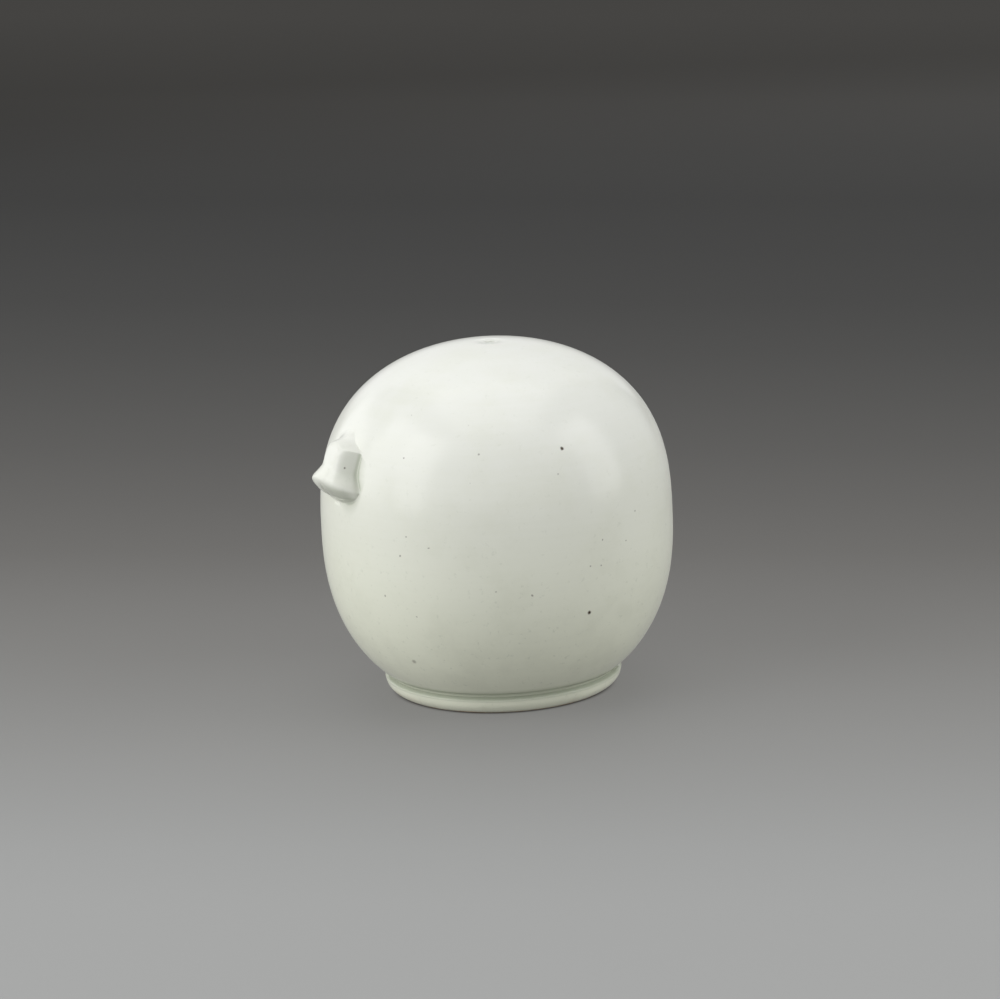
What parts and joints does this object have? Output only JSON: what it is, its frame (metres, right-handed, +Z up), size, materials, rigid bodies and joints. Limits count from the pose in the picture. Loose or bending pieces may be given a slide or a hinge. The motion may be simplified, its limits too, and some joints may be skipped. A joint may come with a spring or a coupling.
{
  "type": "water dropper",
  "caption": "Round porcelain water dropper with a small modelled spout on its shoulder, an air hole in the crown and a low turned foot ring.",
  "frame": {"origin": "on the resting plane, under the middle of the whole length from the spout's nose to the far side of the belly", "axes": "+Z up through the crown, -X towards the spout, whose middle lies on the X axis"},
  "size_m": [0.1045, 0.1, 0.0999],
  "materials": {
    "white_glaze": "glossy bluish-white glaze with brown iron specks",
    "foot_biscuit": "glazed above, bare orange-tinted biscuit at the rim",
    "luting_slip": "fired slip, matt"
  },
  "bodies": {
    "root": {"upper_body": "white_glaze", "lower_body": "white_glaze", "belly_slip": "luting_slip", "foot_ring": "foot_biscuit", "foot_slip": "luting_slip", "spout": "white_glaze", "spout_slip": "luting_slip"}
  },
  "joints": []
}
